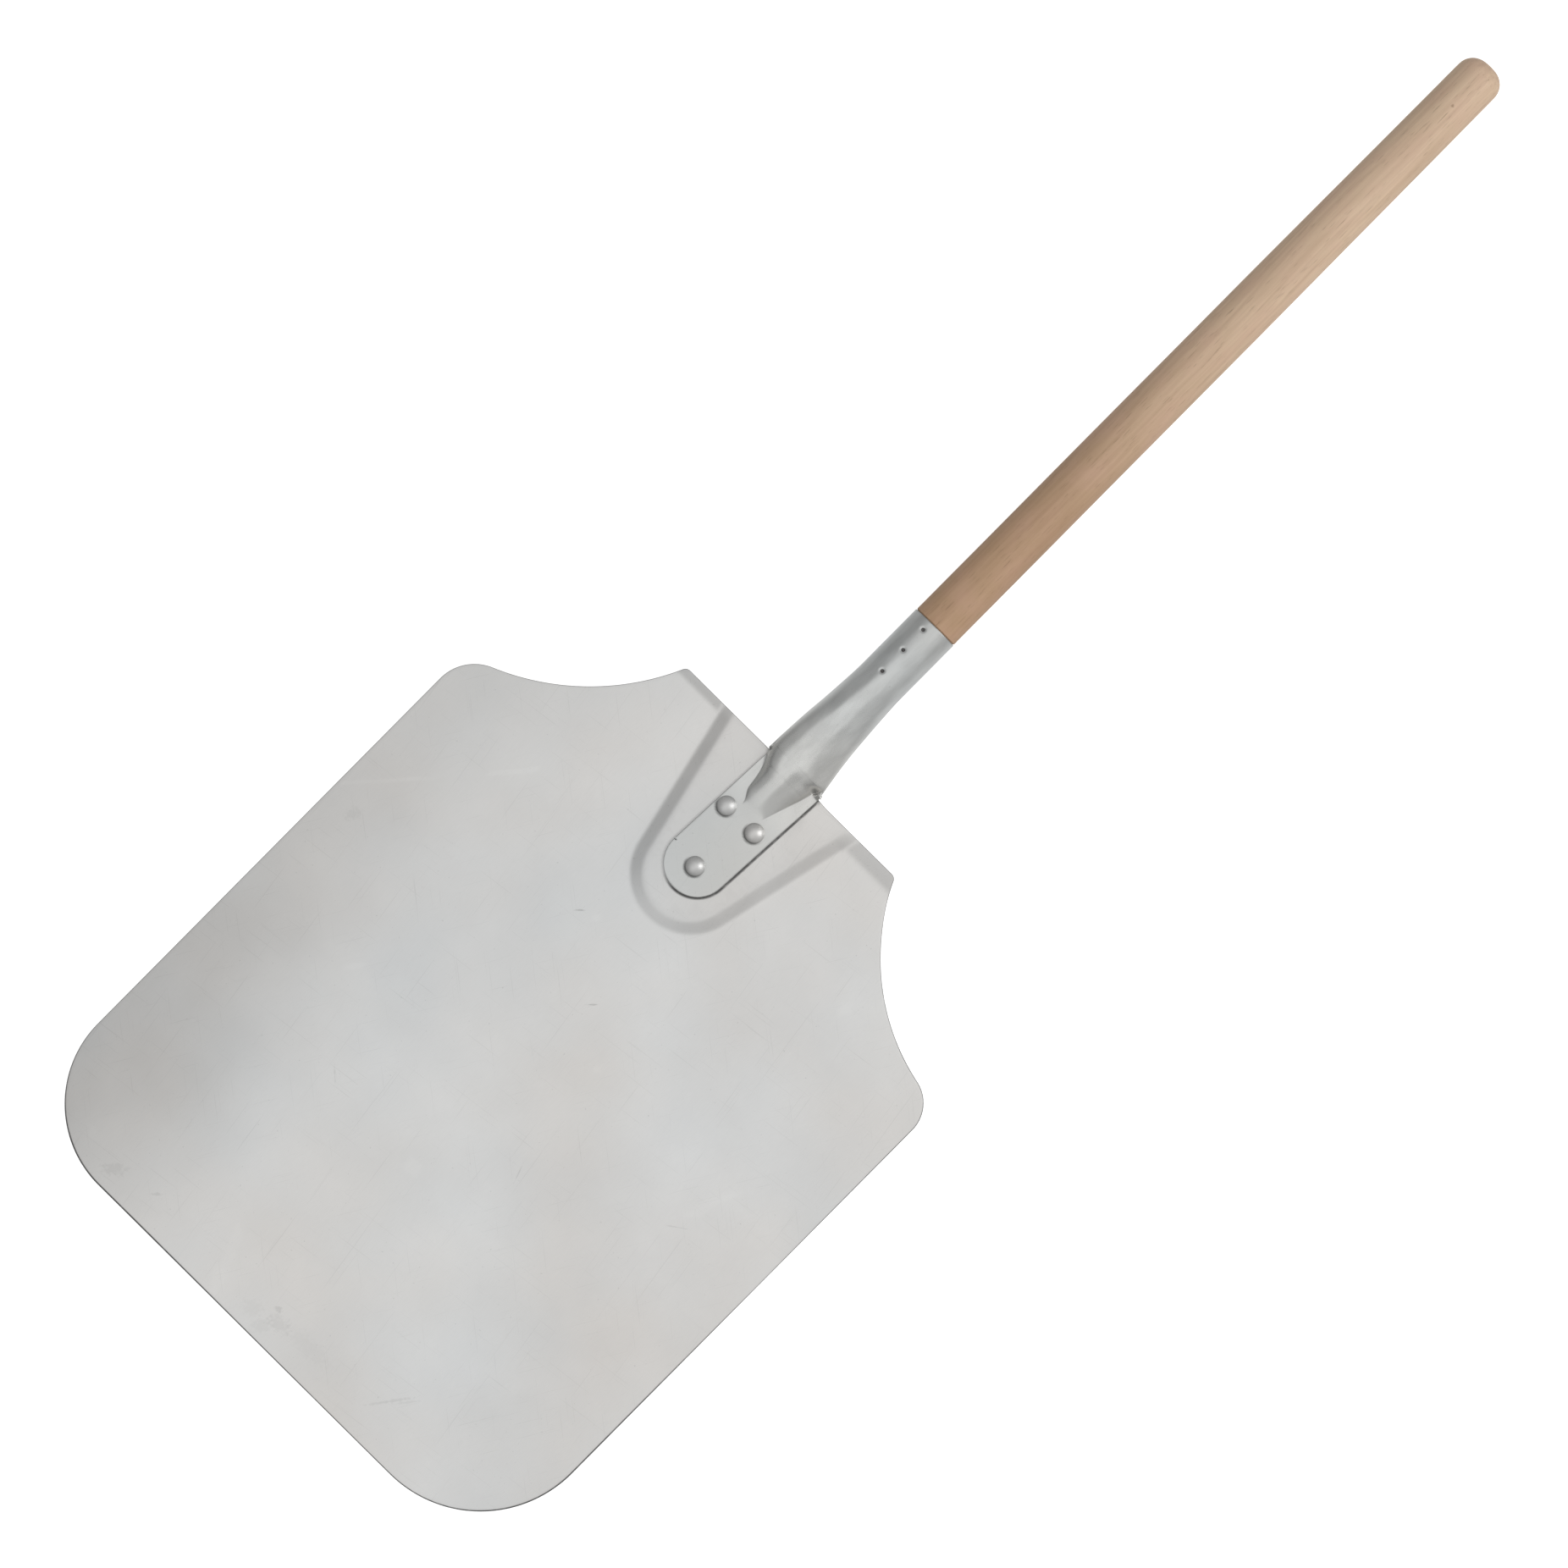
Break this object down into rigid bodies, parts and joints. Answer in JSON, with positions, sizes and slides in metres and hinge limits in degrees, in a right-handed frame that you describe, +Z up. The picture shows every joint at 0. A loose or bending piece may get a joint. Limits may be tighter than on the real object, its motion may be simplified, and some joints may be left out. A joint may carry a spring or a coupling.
{
  "type": "pizza peel",
  "caption": "Flat aluminium pizza peel with scalloped shoulders, a raised riveted neck pad, a pressed tube socket and a round wooden handle.",
  "frame": {"origin": "under the middle of the whole peel's outline, in the plane of the blade's underside", "axes": "+Y along the handle towards its tip, +Z up out of the blade's working face, +X across the blade"},
  "size_m": [0.3376, 0.9144, 0.0278],
  "materials": {
    "blade_sheet": "satin, lightly scratched",
    "socket_sheet": "satin",
    "rivet_aluminium": "satin",
    "nail_steel": "dull, darkened",
    "handle_wood": "sanded, unvarnished"
  },
  "bodies": {
    "root": {"blade": "blade_sheet", "socket": "socket_sheet", "tongue_rivet_front": "rivet_aluminium", "tongue_rivet_left": "rivet_aluminium", "tongue_rivet_right": "rivet_aluminium", "ferrule_nail_1": "nail_steel", "ferrule_nail_2": "nail_steel", "ferrule_nail_3": "nail_steel", "handle": "handle_wood"}
  },
  "joints": []
}
